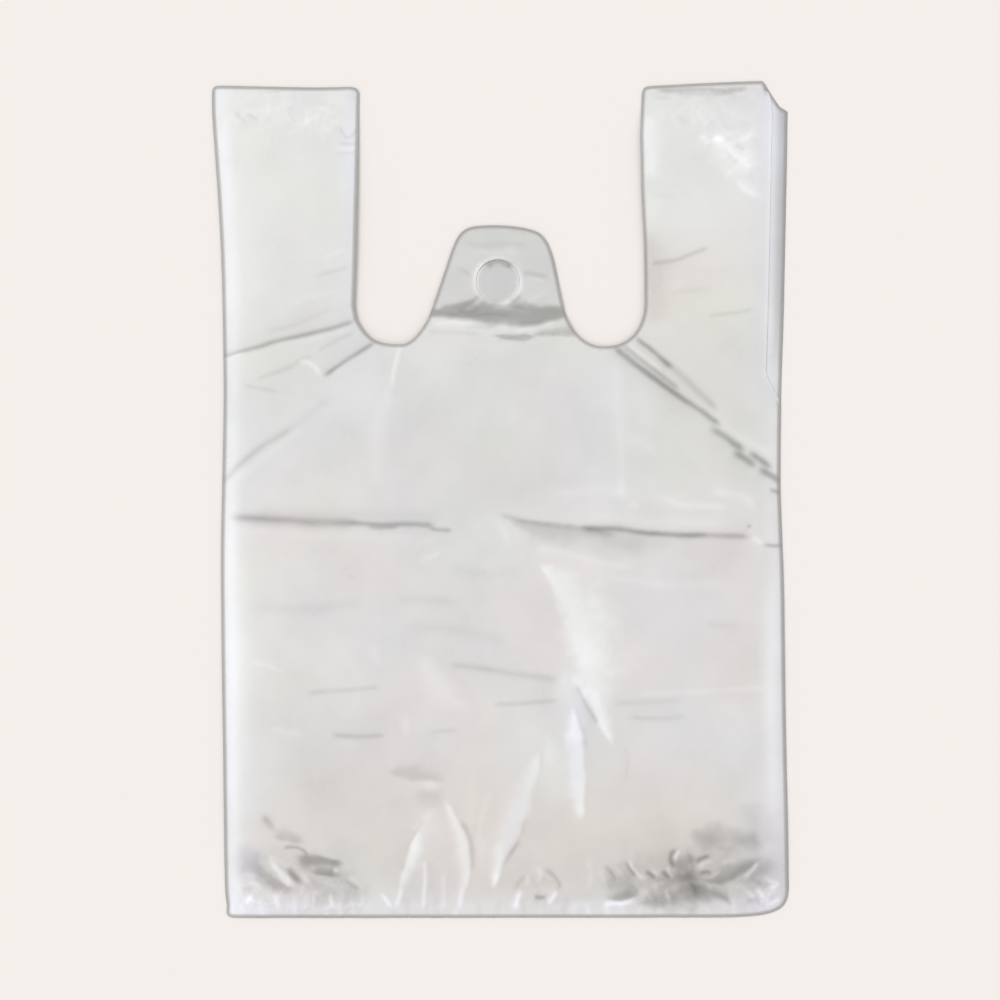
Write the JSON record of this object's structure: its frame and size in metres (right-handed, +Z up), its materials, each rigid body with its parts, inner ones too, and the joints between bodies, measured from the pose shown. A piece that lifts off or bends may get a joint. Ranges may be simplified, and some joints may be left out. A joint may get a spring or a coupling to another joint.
{
  "type": "plastic carrier bag",
  "caption": "Small vest-style carrier bag of translucent white film, empty and lying flat, with side gussets, welded handle loops and a tab with a hanging hole between them.",
  "frame": {"origin": "middle of the bounding box, on the underside of the back panel", "axes": "+Y from the bottom edge towards the handles, +X to the right of the bag seen from the front, +Z up from the surface it lies on"},
  "size_m": [0.2078, 0.3, 0.006],
  "materials": {
    "film": "thin translucent white film with a satin sheen, creased all over"
  },
  "bodies": {
    "root": {"carrier_bag": "film"}
  },
  "joints": []
}
